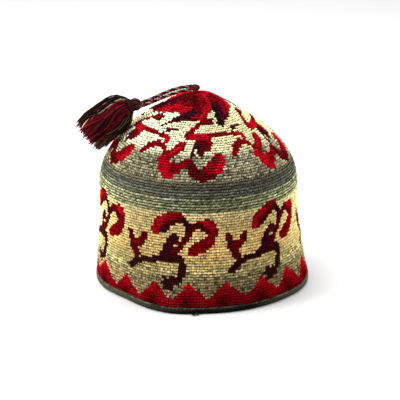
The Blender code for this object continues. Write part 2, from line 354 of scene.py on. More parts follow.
rounds = np.arange(TOP_ROUND)
band_round = (rounds >= BAND_ROUNDS[0]) & (rounds < BAND_ROUNDS[1])
girth = math.tau * radius_at((rounds + 0.5) * ROUND)
dome_count = 5 * np.maximum(1, np.round(girth / DOME_STITCH_WIDTH / 5)).astype(int)
per_round = np.where(rounds < BAND_ROUNDS[1], SIDE_STITCHES, dome_count)
stitch_round = np.repeat(rounds, per_round)
first_stitch = np.concatenate([[0], np.cumsum(per_round)[:-1]])
place = np.arange(per_round.sum()) - np.repeat(first_stitch, per_round)
in_band = band_round[stitch_round]
stagger = np.where(in_band, BAND_STAGGER * (stitch_round % 2), DRIFT * stitch_round)
stitch_turn = (place + 0.5 + stagger) / per_round[stitch_round]
stitch_column = (stitch_turn * COLUMNS) % COLUMNS
stitch_azimuth = math.pi + stitch_column / COLUMNS * math.tau
stitch_way = (stitch_round + 0.5) * ROUND
stitch_width = math.tau * radius_at(stitch_way) / per_round[stitch_round]
print("rounds:", TOP_ROUND, "stitches:", len(place))

# %% [markdown]
# ## The chart
# The flowers are charted as brush strokes: each has a yarn and a few stops of column, round and half
# width, and a stitch takes the yarn of the last stroke that covers it. The side flower comes six
# times round the cap and the crown flower five times. This is easier to read and to correct than a
# sheet of thousands of squares, and the stitches turn the strokes into steps as crochet does.

# %% Yarns and the side flower
YARNS = ("cream", "stone", "sage", "slate", "ivory", "red", "crimson", "maroon", "plum", "umber")
CREAM, STONE, SAGE, SLATE, IVORY, RED, CRIMSON, MAROON, PLUM, UMBER = range(len(YARNS))
SIDE_FLOWER = (
    ("left leaf", MAROON, ((24.4, 25.2, 0.9), (24.9, 22.5, 1.2), (25.6, 19.8, 1.3), (26.7, 17.4, 1.2))),
    ("right leaf", MAROON, ((29.4, 25.2, 0.9), (28.3, 22.6, 1.3), (26.8, 20.9, 1.3))),
    ("leaf heart", CRIMSON, ((26.2, 21.4, 0.9), (27.8, 22.8, 0.9))),
    ("stem foot", UMBER, ((24.5, 12.2, 1.1), (26.9, 15, 1.2), (30.6, 16.3, 1), (34, 16.8, 1.2))),
    ("body", PLUM, ((38.4, 25.4, 1.3), (37.5, 22.6, 2.1), (36.8, 19.8, 2.4), (35.6, 17.8, 2.1))),
    ("body side", MAROON, ((38.9, 23.6, 0.9), (38.6, 20.4, 1.1), (37.4, 18.2, 1))),
    ("body foot", UMBER, ((33.4, 16.8, 1.1), (36.6, 17.2, 1.2), (39.2, 17.5, 1.2))),
    ("eye", CREAM, ((38.3, 22.4, 0.6), (38.5, 22.6, 0.6))),
    ("arch", CRIMSON, ((32.8, 27.2, 1.4), (34.2, 30.4, 2), (36.6, 32.4, 2.1), (39.1, 33.2, 2))),
    ("arch light", RED, ((32.4, 27, 0.9), (33.4, 30.2, 1.1), (35.4, 32.6, 1))),
    ("arch shade", MAROON, ((35.6, 28.6, 0.9), (37.2, 30.6, 0.9), (39.4, 31.8, 1))),
    ("arch spot", PLUM, ((34.8, 27.6, 0.9), (35.9, 28.8, 0.9))),
    ("arch side", UMBER, ((40.9, 32, 0.9), (42.1, 29.9, 0.9), (41.7, 27.6, 0.7))),
    ("link", MAROON, ((39.4, 21, 0.9), (41, 24.3, 0.9), (42.3, 26.9, 0.9), (44.2, 30.2, 1))),
    ("right petal", CRIMSON, ((45.8, 30.8, 1.7), (47.6, 30.4, 2.2), (48.8, 28, 1.7), (48.7, 25.4, 1.2))),
    ("petal light", RED, ((46.8, 31.4, 0.9), (48.9, 29.8, 1))),
    ("petal shade", MAROON, ((44.9, 30.2, 0.9), (46, 29.6, 0.9), (47.6, 27.6, 0.6))),
    ("low petal", CRIMSON, ((43.2, 20.6, 1.5), (45, 21.6, 2.1), (46.9, 23.2, 2.1), (48.5, 25.2, 1.4))),
    ("tail", UMBER, ((40, 17.6, 1.1), (40.3, 14.6, 1), (39.8, 11.6, 1), (39.2, 9.8, 1))),
    ("bud", UMBER, ((36, 8.7, 1.4), (37.4, 8.8, 1.5))),
    ("bud left tip", UMBER, ((35.3, 10.8, 0.5), (36, 9, 1), (34.5, 8.2, 0.5))),
    ("bud right tip", UMBER, ((37.4, 11, 0.5), (37.4, 9, 1), (38.8, 8.2, 0.7))),
    ("bud foot", UMBER, ((35.4, 6.6, 0.5), (36.2, 7.8, 1), (37.2, 6.4, 0.5))),
)
SIDE_REPEAT = 30
SIDE_FIRST = 22.4
SIDE_SHIFTS = {-1: (2.0, 1.0), 1: (-1.0, 0.9), 2: (-0.2, 0.6)}
print("strokes of the side flower:", len(SIDE_FLOWER))

# %% The crown flower
DOME_FLOWER = (
    ("arms", CRIMSON, ((37, 50.6, 1.3), (39.6, 52.2, 1.4), (41.8, 53.6, 1.3), (43, 51, 1.3))),
    ("low petal", RED, ((32.9, 54.2, 1.8), (34.3, 51, 2.6), (35.6, 49, 2.3))),
    ("low petal shade", CRIMSON, ((36.9, 53, 1), (37.6, 50, 1.4))),
    ("stack", CRIMSON, ((34.7, 55.4, 1.3), (36.2, 57.2, 1.9), (38, 58.9, 1.9), (39.4, 60.8, 1.4))),
    ("stack light", RED, ((35, 56.2, 0.5), (38.2, 59.6, 0.7), (39.4, 61, 0.6))),
    ("curl", UMBER, ((42.6, 55, 0.5), (43.6, 56.6, 0.6), (43.9, 57.9, 0.5))),
    ("bottom", MAROON, ((43, 52.6, 1.3), (43.9, 49.4, 1.9), (46.6, 48.6, 2.6), (49, 49.8, 2.6))),
    ("right arm", CRIMSON, ((49.6, 50.8, 2.3), (51.4, 53, 2.5), (53, 55, 2))),
    ("right arm light", RED, ((51.6, 49.8, 1.2), (53.4, 53, 1.2), (54.2, 55.4, 0.9))),
    ("centre side", CRIMSON, ((49.8, 59, 1.1), (50.4, 61.4, 1.4), (51, 63.4, 1.6))),
    ("centre", MAROON, ((46.5, 57.8, 1.6), (47.3, 60.2, 2.4), (47.6, 61.9, 2.4))),
    ("centre heart", PLUM, ((46.2, 58.4, 1.1), (46.6, 60.2, 1.4), (46.6, 61.4, 1))),
    ("centre twig", UMBER, ((44.2, 58.8, 0.6), (45.4, 61.4, 0.7))),
    ("bar", RED, ((42.2, 64.4, 1), (45, 64.4, 1.3), (48.6, 64.6, 1.5), (51.4, 64.2, 1.4))),
    ("bar end", CRIMSON, ((52, 64.6, 1.2), (56, 65.2, 0.9), (61, 64.8, 0.8), (66, 64, 0.9))),
    ("vine", CRIMSON, ((41.3, 64.6, 1.2), (42.7, 66.8, 1.3), (45.5, 69, 1.2), (48.2, 70.8, 1.2))),
    ("leaf", MAROON, ((49, 71.2, 1.3), (52, 71.8, 1.8), (55.2, 71.6, 1.5), (57, 72.4, 0.8))),
    ("leaf heart", CRIMSON, ((50.6, 71.4, 0.8), (53.6, 71.8, 0.9))),
    ("arch", CRIMSON, ((58.9, 56, 1.1), (61, 58.6, 1.3), (64.4, 60.5, 1.3), (67.2, 60, 1.3),
                       (69, 57.2, 1))),
    ("arch stem", RED, ((67.6, 61, 1.1), (68.2, 62.6, 1.1), (66.6, 64.2, 1))),
    ("brown vine", MAROON, ((64.6, 65.4, 0.6), (66.4, 67, 0.8), (69.4, 67.4, 0.6), (71.6, 67.2, 0.5))),
)
DOME_REPEAT = 36


def covered_by(strokes, column, row, repeat, first):
    """Yarn of the last stroke over each place, or -1. A stroke is a chain of cones: its half width
    runs evenly from stop to stop, and a place is covered where it is nearer than the half width."""
    found = np.full(column.shape, -1)
    column = (column - first) % repeat + first
    for _, yarn, stops in strokes:
        for (c0, r0, w0), (c1, r1, w1) in zip(stops[:-1], stops[1:]):
            for lap in (-repeat, 0, repeat):
                dc, dr = c1 - c0, r1 - r0
                share = ((column - c0 - lap) * dc + (row - r0) * dr) / (dc * dc + dr * dr)
                share = np.clip(share, 0, 1)
                away = np.hypot(column - c0 - lap - share * dc, row - r0 - share * dr)
                found[away <= w0 + share * (w1 - w0)] = yarn
    return found


print("strokes of the crown flower:", len(DOME_FLOWER))

# %% [markdown]
# ## The zones behind the flowers
# From the hem up: a zigzag of red teeth, grey-green that fades to cream behind the side flowers,
# the ribbed band in sage and slate, a mottled stone ground, ivory behind the crown flowers,
# and a pinwheel of five red petals with dark tips round the knot.

# %% Zigzag
# A table here and below holds places, which are columns, rounds or shares, and the values there.
# Between the places the values run evenly.
chance = np.random.default_rng(57)
TOOTH_WIDTH = 10.0
TOOTH_PEAK = 12.4
TOOTH_EDGE = ((0, 1, 2, 4, 5), (9.4, 7.9, 6.4, 3.9, 3.0))
TOOTH_DROP = ((0, 8, 13, 20, 30, 46, 64, 76, 84, 100, 180),
              (0.4, -0.6, -0.2, 1.4, 0.8, 0.0, 0.0, -0.2, 0.4, 0.4, 0.4))
TOOTH_SWAY = ((36, 42, 52, 60), (0.0, 0.5, 0.6, 0.0))
# In the two lowest rounds the tooth's light falls steeply, which is painted shade next to the hem roll; above
# them it follows the tooth's own reds, brightest at the tip.
TOOTH_LIGHT = ((0, 1, 2, 3, 4, 5, 6, 7, 8, 10),
               (0.34, 0.50, 0.60, 0.62, 0.62, 0.66, 0.74, 0.86, 0.92, 0.95))
TOOTH_CORE = ((0, 1, 2, 3, 4, 5, 6), (0.26, 0.38, 0.46, 0.38, 0.24, 0.10, 0.0))
CORE_MIDDLE, CORE_HALF_WIDTH = -0.9, 2.0
# Painted light: the teeth are made paler towards the right side of the cap.
TEETH_PALER = ((0, 58, 70, 90, 180), (1.0, 1.0, 1.18, 1.18, 1.0))
RED_FROM, CRIMSON_FROM, RAGGED = 0.47, 0.24, 0.08


def tooth_place(column, row):
    """Columns right of a tooth's middle, and rounds above the foot where the zigzag sags."""
    column = column + np.interp(column, *TOOTH_SWAY)
    along = (column - TOOTH_PEAK + TOOTH_WIDTH / 2) % TOOTH_WIDTH - TOOTH_WIDTH / 2
    return along, row + np.interp(column, *TOOTH_DROP)


def tooth_light(column, row):
    """Share of the bright red: most at the tip, least in a dark core, which is deepest two rounds up.
    In the lowest rounds it also falls off as painted shade next to the hem roll.
    """
    along, above = tooth_place(column, row)
    core = np.interp(above, *TOOTH_CORE) * np.exp(-(((along - CORE_MIDDLE) / CORE_HALF_WIDTH) ** 2))
    return (np.interp(above, *TOOTH_LIGHT) - core) * np.interp(column, *TEETH_PALER)


def zigzag_yarn(column, row):
    """Teeth: the edge falls from a sharp peak and flattens towards the notch between two teeth. The
    yarn follows the light of the tooth, with a ragged change from one red to the next."""
    along, above = tooth_place(column, row)
    light = tooth_light(column, row) + RAGGED * (chance.random(column.shape) - 0.5)
    yarn = np.where(light > RED_FROM, RED, np.where(light > CRIMSON_FROM, CRIMSON, MAROON))
    return np.where(above < np.interp(np.abs(along), *TOOTH_EDGE), yarn, -1)


print("teeth round the cap:", round(COLUMNS / TOOTH_WIDTH))

# %% [markdown]
# The pinwheel is charted petal by petal. A tip line runs from the tip of each petal up to the knot,
# and a place is described by its share of the way from one tip line to the next. So all petals can
# share their shades, while each has a lean and a notch of its own. The petals in front get a few
# strokes more, because each of them differs a little from the others in the photograph.

# %% Tables of the pinwheel
TIP_LINES = (
    # rounds, columns of each petal's tip line, from its tip up to the knot
    ((69.5, 72.3, 75.1, 77, 78.6, 83, 90), (25.5, 29.5, 34.2, 40, 44.5, 45, 52)),
    ((70.2, 73.1, 77.7, 80, 84, 90), (61.3, 62.2, 62.5, 63.8, 68, 76)),
    ((69.8, 75, 80, 90), (98, 101, 103, 112)),
    ((69.8, 75, 80, 90), (134, 137, 139, 148)),
    ((69.8, 75, 80, 90), (170, 171, 172, 182)),
)
PETAL_NOTCHES = np.array((77.2, 79, 77, 76, 75.4))
PETAL_EDGE = ((0, 0.05, 0.14, 0.27, 0.5, 0.64, 0.8, 1), (68.2, 69, 71, 72, 71.8, 72.8, 75.6, 76.4))
PETAL_LIFTS = np.array(((0, 0.62), (2.8, 0.50), (0.9, 0.62), (0.5, 0.62), (1.7, 0.62)))
PETAL_SHADES = (
    ("tip", UMBER, ((0.2, 68.5, 1.3), (0.9, 71.5, 1.4), (1.4, 75, 1.2), (1.6, 79, 0.9))),
    ("under the tip", PLUM, ((4, 73.6, 2.4), (8.5, 74.6, 2.4), (12, 75.6, 1.8))),
    ("under the plum", MAROON, ((8, 72.3, 0.8), (18, 72.2, 0.8))),
    ("rib", RED, ((20.5, 74.6, 1.6), (19.5, 78.6, 1.6), (23, 82.8, 2), (28, 87, 3))),
    ("dark before the next", MAROON, ((35.6, 79, 0.6), (35, 83, 1.4), (34, 86, 1.2))),
)
CROWN_TOUCHES = (
    ("left feather", PLUM, ((1, 77.4, 1.2), (8, 78.8, 1.8), (16, 80.8, 2.2), (26, 83, 2.4))),
    ("over the feather", MAROON, ((4, 81.6, 1.6), (18, 84, 2.2), (34, 86.4, 2.4))),
    ("dark under the middle", PLUM, ((36.6, 74.4, 1.3), (41, 75.2, 1.7), (46, 76.2, 1.5),
                                     (50, 75.4, 0.9))),
    ("right shade", PLUM, ((65.6, 73.6, 2.2), (68, 75.8, 2.8), (70, 78.4, 2.2))),
    ("over the light", CRIMSON, ((18, 79.6, 0.9), (26, 80.2, 1.4), (33, 80.6, 1.8), (39, 80.8, 2))),
    ("middle of the left petal", MAROON, ((28, 82.8, 1.2), (36, 83.4, 2))),
    ("right middle", CRIMSON, ((70, 74.4, 1.2), (76, 77.6, 2.2), (80, 81, 2.6), (92, 83.6, 2.6))),
    ("right dark", MAROON, ((72, 80.6, 1), (76, 82.6, 1.6), (86, 84.6, 1.4))),
    ("right rim", RED, ((78, 75.8, 0.8), (86, 77.4, 1.3), (92, 79.4, 1.5))),
    ("right streak", UMBER, ((61.2, 70.6, 1.9), (61.9, 72.4, 2.2), (62.6, 75, 1.5), (62.8, 77.6, 1.3),
                             (64.4, 81, 1.6))),
    ("dark before the rib", MAROON, ((39, 84, 3), (43, 80.6, 3.2), (46.5, 77.8, 1.6))),
)
BRIGHT_FROM = 0.55
LIFT_HALF_WIDTH = 0.2

# %% Petals of the pinwheel
def petal_share(column, row):
    """Share of the way round from one petal's tip line to the next petal's, and the petal's number."""
    lines = np.stack([np.interp(row, line_rounds, columns) for line_rounds, columns in TIP_LINES])
    after, before = (column - lines) % COLUMNS, (lines - column) % COLUMNS
    petal = after.argmin(0)
    return after.min(0) / (after.min(0) + before.min(0) + 1e-9), petal


def petal_edge(share, petal):
    """Round at which a petal begins, from its tip to its own notch."""
    lift, middle = np.moveaxis(PETAL_LIFTS[petal], -1, 0)
    lift = lift * np.exp(-(((share - middle) / LIFT_HALF_WIDTH) ** 2))
    own_notch = (PETAL_NOTCHES[petal] - PETAL_EDGE[1][-1]) * share**3
    return np.interp(share, *PETAL_EDGE) + own_notch + lift


def pinwheel_yarn(column, row):
    """Five petals: dark along the tip line, plum and crimson under it, bright before the next petal.
    The shades are strokes over (36 columns * share, round), so they follow a petal's own lean."""
    share, petal = petal_share(column, row)
    yarn = np.where(share > BRIGHT_FROM, RED, CRIMSON)
    shade = covered_by(PETAL_SHADES, DOME_REPEAT * share, row, DOME_REPEAT, 0)
    yarn = np.where(shade >= 0, shade, yarn)
    touch = covered_by(CROWN_TOUCHES, column, row, COLUMNS, 0)
    yarn = np.where(touch >= 0, touch, yarn)
    return np.where((row > petal_edge(share, petal)) | (touch == UMBER), yarn, -1)


print("petals:", len(TIP_LINES))

# %% Yarn at a place of the chart
GROUND_YARNS = ((0, SAGE), (10.5, STONE), (14.5, CREAM), (35, SAGE), (40, SLATE), (46, STONE),
                (56.5, IVORY))


def yarn_at(column, row):
    """Yarn of every stitch: ground first, then zigzag, flowers and pinwheel over it."""
    yarn = np.full(row.shape, SAGE)
    for start, ground in GROUND_YARNS:
        yarn[row >= start] = ground
    lap = np.floor((column - SIDE_FIRST) / SIDE_REPEAT).astype(int)
    side_column, side_row = column.copy(), row.copy()
    for which, (dc, dr) in SIDE_SHIFTS.items():
        side_column[lap == which] -= dc
        side_row[lap == which] -= dr
    layers = (
        (zigzag_yarn(column, row), row < 14),
        (covered_by(SIDE_FLOWER, side_column, side_row, SIDE_REPEAT, SIDE_FIRST), row < 35.6),
        (covered_by(DOME_FLOWER, column, row, DOME_REPEAT, 30), row > 45),
        (pinwheel_yarn(column, row), row > 66),
    )
    for layer, where in layers:
        over = where & (layer >= 0)
        yarn[over] = layer[over]
    return yarn


stitch_yarn = yarn_at(stitch_column, stitch_round + 0.5)
for index, yarn_name in enumerate(YARNS):
    print(yarn_name, "stitches:", int((stitch_yarn == index).sum()))

# %% [markdown]
# ## Dyes
# The flower yarns have one dye each. The ground's dye runs on from round to round. Its strength is
# also read between columns: it is made paler and cooler towards the left and right of the cap, and the
# ivory paler at the left, which is painted light, the light of the side lamps and the grazing sheen of
# the wool. Each of these tables is one short line of places and values, which is easy to correct
# against a render.

# %% Dyes of the ground and the flowers
GROUND_ROUNDS = (0, 7, 10, 12, 14, 16, 18, 20, 30, 34.9, 35.1, 39.9, 40.1, 43, 45.9, 46.1, 56.4, 56.6, 90)
GROUND_DYES = np.array((
    (0.20, 0.138, 0.068), (0.205, 0.150, 0.070), (0.23, 0.185, 0.078), (0.50, 0.375, 0.172),
    (0.52, 0.40, 0.165), (0.60, 0.44, 0.175), (0.74, 0.51, 0.200), (0.84, 0.58, 0.225),
    (0.78, 0.58, 0.245), (0.70, 0.575, 0.285), (0.184, 0.187, 0.094), (0.144, 0.147, 0.078),
    (0.045, 0.045, 0.029), (0.058, 0.060, 0.042), (0.070, 0.055, 0.030), (0.28, 0.245, 0.150),
    (0.34, 0.31, 0.195), (0.85, 0.76, 0.425), (0.85, 0.76, 0.425),
))
# Painted light: the tables from here to the ivory ends make the ground paler, and its cream cooler, towards
# the sides of the cap, where the side lamps and the wool's grazing sheen light it, and the ivory paler at the
# left, towards the stronger lamp.
SIDES_PALER = ((0, 12, 21, 34, 50, 66, 78, 90, 110, 160, 180),
               (1.8, 2.1, 2.0, 1.3, 1.08, 1.05, 1.4, 1.4, 1.2, 1.2, 1.8))
LOW_PALER = ((9, 12, 18), (1.0, 0.3, 0.0))
SAGE_PALER = ((0, 20, 36, 56, 63, 70, 80, 100, 180), (1.06, 1.06, 1.0, 1.0, 1.5, 1.7, 1.45, 1.0, 1.06))
SIDES_COOLER = ((0, 20, 34, 50, 62, 78, 180), (0.90, 0.90, 0.97, 1.0, 0.97, 0.89, 0.90))
CREAM_SIDE_LIGHT = ((0, 14, 20, 28, 38, 50, 60, 70, 76, 80, 92, 110, 180),
               (1.1, 1.12, 1.08, 0.86, 0.94, 1.0, 0.95, 1.06, 1.16, 1.2, 1.18, 1.1, 1.1))
CROWN_UMBER = (0.009, 0.003, 0.004)
IVORY_COLUMNS = (32, 66)
IVORY_ENDS = ((1.06, 0.90), (1.13, 0.90), (1.38, 0.90))
FLOWER_DYES = {RED: (0.46, 0.002, 0.010), CRIMSON: (0.215, 0.001, 0.004), MAROON: (0.078, 0.001, 0.002),
               PLUM: (0.036, 0.002, 0.008), UMBER: (0.028, 0.003, 0.003)}
TOOTH_TOP = 13
FADE_SPLIT = 30
CROWN_FOOT = 66

# %% Dye at a place of the chart
def dye_at(yarn, column, row):
    """Dye of every stitch = dye of its round * painted side light of its column, or the dye of its flower
    yarn.
    """
    dye = np.stack([np.interp(row, GROUND_ROUNDS, GROUND_DYES[:, part]) for part in range(3)], axis=-1)
    side_stone = (yarn == STONE) & (row < FADE_SPLIT)
    # Painted side light: the dye grows paler towards the sides of the cap.
    sides = np.interp(column, *SIDES_PALER)
    low = 1 + (sides - 1) * np.interp(row, *LOW_PALER)
    paler = np.where(row > FADE_SPLIT, sides * np.interp(column, *SAGE_PALER), low)
    side_lit = np.isin(yarn, (SAGE, SLATE)) | side_stone
    dye *= np.where(side_lit, np.where(yarn == SLATE, sides, paler), 1.0)[..., None]
    cream = np.repeat(np.interp(column, *CREAM_SIDE_LIGHT)[..., None], 3, axis=-1)
    cream[..., 0] *= np.interp(column, *SIDES_COOLER)
    dye *= np.where(((yarn == CREAM) | side_stone)[..., None], cream, 1.0)
    # Painted light: the ivory is paler at the left, towards the stronger lamp.
    ivory = np.stack([np.interp(column, IVORY_COLUMNS, ends) for ends in IVORY_ENDS], axis=-1)
    dye *= np.where((yarn == IVORY)[..., None], ivory, 1)
    for which, color in FLOWER_DYES.items():
        dye[yarn == which] = color
    dye[(yarn == UMBER) & (row > CROWN_FOOT)] = CROWN_UMBER
    tooth = (row < TOOTH_TOP) & np.isin(yarn, (RED, CRIMSON, MAROON))
    dye[tooth] = tooth_light(column, row)[tooth, None] * np.array(FLOWER_DYES[RED])
    return dye


print("dyes of the ground:", len(GROUND_DYES), "dyes of the flowers:", len(FLOWER_DYES))

# %% [markdown]
# ## Stitches as yarn
# Seen from outside, a single crochet stitch shows two short legs of yarn that lean apart and tuck
# under the stitches above and below. In the ribbed band the yarn lies along the round instead, so
# it makes ridges. Each leg is a fat grain of yarn with four sides and three rings: enough for the
# light to catch it, and few enough faces for nearly seventeen thousand stitches.

# %% Legs of a stitch
PLAIN_LEG = np.array((
    # across, up (shares of the stitch), out (mm), radius (mm)
    (0.09, -0.60, -1.60, 0.0), (0.12, -0.34, -0.74, 0.44), (0.21, 0.00, -0.28, 0.55),
    (0.28, 0.31, -0.66, 0.44), (0.31, 0.57, -1.55, 0.0),
))
RIDGE_LEG = np.array((
    (-1.15, -0.06, -1.10, 0.0), (-0.62, 0.02, -0.50, 0.58), (0.00, 0.10, -0.16, 0.76),
    (0.62, 0.18, -0.50, 0.58), (1.15, 0.26, -1.10, 0.0),
))
VALLEY_LEG = np.array((
    (-1.00, -0.50, -1.80, 0.0), (-0.55, -0.46, -1.35, 0.36), (0.00, -0.40, -1.25, 0.44),
    (0.55, -0.34, -1.35, 0.36), (1.00, -0.30, -1.80, 0.0),
))
# Painted shade and light along a leg, from one end to the other: darker than its dye where the leg tucks
# under its neighbours, brighter in the middle. The second row of the ridge shades paints the valley legs
# dark, as shade between the ridges.
LEG_SHADE = np.array((0.12, 0.64, 1.16, 0.70, 0.12))
CREAM_LEG_SHADE = np.array((0.22, 0.76, 1.08, 0.80, 0.22))
FLOWER_LEG_SHADE = np.array((0.45, 0.85, 1.05, 0.90, 0.45))
RIDGE_SHADE = np.array(((0.22, 0.80, 1.22, 0.80, 0.22), (0.08, 0.20, 0.26, 0.20, 0.08)))
LEAN = 0.09
mirrored = PLAIN_LEG * (-1, 1, 1, 1)
plain_legs = np.stack([PLAIN_LEG, mirrored])
plain_legs[..., 0] += LEAN * plain_legs[..., 1]
ribbed_legs = np.stack([RIDGE_LEG, VALLEY_LEG])
PETAL_RISE = 1.3 * MM
EDGE_ROUNDS = 2.0
KNOT_ROUND, KNOT_FADE = 88, 5
SWELL_FROM, SWELL_PART, SWELL_POWER = 0.08, 0.9, 0.7


def petal_rise(column, row):
    """Relief of the pinwheel: a petal swells from its tip line and drops at the next petal's."""
    share, petal = petal_share(column, row)
    inside = np.clip((row - petal_edge(share, petal)) / EDGE_ROUNDS, 0, 1)
    inside = inside * np.clip((KNOT_ROUND - row) / KNOT_FADE, 0, 1)
    swell = np.sin(math.pi * np.clip(share * SWELL_PART + SWELL_FROM, 0, 1)) ** SWELL_POWER
    return PETAL_RISE * inside * swell


print("legs of a stitch:", len(plain_legs), "points along a leg:", plain_legs.shape[1])

# %% Crochet chosen stitches
WAY_SWAY, TURN_SWAY, SIZE_SWAY, OUT_SWAY = 0.07, 0.06, 0.07, 0.10
LEG_TONE = 0.35


def crochet(name, chosen, legs, leg_shade):
    """Both legs of the chosen stitches as one mesh.
    point = fabric(way + up * round, azimuth + across * width / radius) + (out + rise) * outward.
    Every stitch is a little off its place and size, as in hand work."""
    way, azimuth, width = stitch_way[chosen], stitch_azimuth[chosen], stitch_width[chosen]
    column, row = stitch_column[chosen], stitch_round[chosen] + 0.5
    count = len(way)
    sway = chance.normal(0, 1, (4, count))
    way = way + WAY_SWAY * ROUND * sway[0]
    azimuth = azimuth + TURN_SWAY * width / radius_at(way) * sway[1]
    size = (1 + SIZE_SWAY * sway[2])[:, None, None]
    there = way[:, None, None] + legs[..., 1] * size * ROUND
    turn = azimuth[:, None, None] + legs[..., 0] * size * (width / radius_at(way))[:, None, None]
    outward = outward_at(way, azimuth)[:, None, None]
    rise = petal_rise(column, row)[:, None, None]
    out = legs[..., 2] * MM + OUT_SWAY * MM * sway[3][:, None, None] + rise
    paths = fabric_at(np.minimum(there, WHOLE_WAY - 0.2 * MM), turn) + out[..., None] * outward
    radii = legs[..., 3] * MM * size
    tone = np.repeat(chance.normal(0, 1, count), 2) + chance.normal(0, LEG_TONE, 2 * count)
    dye = dye_at(stitch_yarn[chosen], column, row) * ROUND_TONES[stitch_round[chosen], None]
    made = yarns(name, paths.reshape(-1, 5, 3), radii.reshape(-1, 5), np.repeat(outward[:, 0], 2, axis=0),
                 4, tone, np.repeat(dye, 2, axis=0), np.tile(leg_shade, (count, 1)))
    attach(made, "root")
    return made


# %% Crochet the whole cap
TONE_LIMIT = 1.6
BAND_TONES, PLAIN_TONES = 0.26, 0.06
LOWER_SIDE_TOP = 19
ROUND_TONES = 1 + (np.clip(chance.normal(0, 1, TOP_ROUND), -TONE_LIMIT, TONE_LIMIT)
                   * np.where(band_round, BAND_TONES, PLAIN_TONES))
zones = {
    "lower_side": stitch_round < LOWER_SIDE_TOP,
    "upper_side": (stitch_round >= LOWER_SIDE_TOP) & (stitch_round < BAND_ROUNDS[0]),
    "band": in_band,
    "dome": stitch_round >= BAND_ROUNDS[1],
}
stitch_pieces = {}
for zone, in_zone in zones.items():
    legs, zone_shade = (ribbed_legs, RIDGE_SHADE) if zone == "band" else (plain_legs, [LEG_SHADE] * 2)
    for index, yarn_name in enumerate(YARNS):
        chosen = np.flatnonzero(in_zone & (stitch_yarn == index))
        leg_shade = [FLOWER_LEG_SHADE] * 2 if index >= RED else zone_shade
        if index == CREAM:
            leg_shade = [CREAM_LEG_SHADE] * 2
        if len(chosen):
            piece = crochet(f"{zone}_{yarn_name}_stitches", chosen, legs, leg_shade)
            stitch_pieces[piece.name] = (piece, yarn_name)
            print(piece.name, "stitches:", len(chosen), "triangles:", len(chosen) * 48)

# %% [markdown]
# ## The wall behind the stitches
# In tapestry crochet the resting yarns are carried inside the stitches. A closed wall under the
# stitches stands for the fabric behind the legs, and its outside carries painted shade: the dye of the
# stitch in front of it, darkened, so the holes between the legs look dark. Its outside follows the
# fabric a little below the surface, its inside is the lining side of the same fabric, seen in the hollow.

# %% Backing wall
WALL_AROUND = 144
WALL_RINGS = 96
OUTER_DEPTH = 1.35 * MM
# Painted shade in the holes between the legs: the wall's outside is the dye of the stitch in front of it
# times these shares.
FLOWER_GAP_SHADE, CREAM_GAP_SHADE, GROUND_GAP_SHADE = 0.45, 0.14, 0.09
INNER_SHADE = 0.6
POLE_DYE = (0.06, 0.003, 0.004)


def closed_shell(name, rings, start, end, **values):
    """Rings joined by four-cornered faces and closed by a fan at each end."""
    count, around, _ = rings.shape
    poles = count * around
    fans = pole_fans(poles, 0, poles + 1, poles - around, around)
    points = np.concatenate([rings.reshape(-1, 3), [start, end]])
    return surface_mesh(name, points, [grid_quads(count, around).reshape(-1, 4), fans], **values)


ways = np.linspace(0, WHOLE_WAY, WALL_RINGS + 1)[:-1]
around = np.linspace(0, math.tau, WALL_AROUND, endpoint=False)
way_grid, azimuth_grid = np.meshgrid(ways, around, indexing="ij")
outward_grid = outward_at(way_grid, azimuth_grid)
column_grid, row_grid = column_of(azimuth_grid), way_grid / ROUND
rise_grid = petal_rise(column_grid, row_grid)[..., None]
outer = fabric_at(way_grid, azimuth_grid) + (rise_grid - OUTER_DEPTH) * outward_grid
inner = fabric_at(way_grid, azimuth_grid) - WALL * outward_grid
apex = fabric_at(np.array(WHOLE_WAY), np.array(0.0))
wall_yarn = yarn_at(column_grid, row_grid)
wall_color = dye_at(wall_yarn, column_grid, row_grid)
gap_shade = np.where(wall_yarn >= RED, FLOWER_GAP_SHADE, np.where(wall_yarn == CREAM, CREAM_GAP_SHADE, GROUND_GAP_SHADE))
outer_color = wall_color * gap_shade[..., None]
inner_color = wall_color * INNER_SHADE
wall_color = np.concatenate([inner_color[::-1], outer_color]).reshape(-1, 3)
wall_color = np.concatenate([wall_color, np.tile(POLE_DYE, (2, 1))])
backing = closed_shell(
    "fabric_backing", np.concatenate([inner[::-1], outer]), apex - (0, 0, WALL),
    apex - (0, 0, OUTER_DEPTH), dye=wall_color,
)
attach(backing, "root")
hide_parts("cap_body")
print("backing faces:", len(backing.data.polygons))

# %% [markdown]
# ## The rolled hem
# The opening ends in a roll of dark yarn crocheted tightly over the edge. Its section is an oval,
# and the yarn wraps it at a slant, which gives a fine cord-like rib. The rib is worked into the
# surface itself, because at this size it is low and regular. A thin chain lies where roll and side meet.

# %% Hem roll
HEM_RADIUS = PROFILE[0, 1] - WALL / 2
HEM_OVAL = (2.6 * MM, 3.0 * MM)
HEM_WRAPS = 196
HEM_GROOVE = 0.42 * MM
HEM_DARK = np.array((0.0045, 0.0050, 0.0032))
HEM_WEAR_AND_HIGHLIGHT = np.array((0.085, 0.092, 0.070))
# Painted light: the hem's dye is paler towards the sides of the cap, where the side lamps and the wool's
# grazing sheen light it.
HEM_SIDE_LIT_DYE = np.array((0.056, 0.056, 0.034))
HEM_SIDE_LIGHT = ((0, 16, 26, 34, 40, 58, 64, 74, 84, 100, 180),
            (1.0, 1.0, 0.7, 0.3, 0.0, 0.0, 0.4, 0.8, 1.2, 0.6, 1.0))
HEM_STEPS = HEM_WRAPS * 4
HEM_SIDES = 18
HEM_SLANT = 1.1
WEAR_HIGHLIGHT_TURN, WEAR_HIGHLIGHT_SPREAD = 1.15, 0.55
GROOVE_SHADE = 0.75


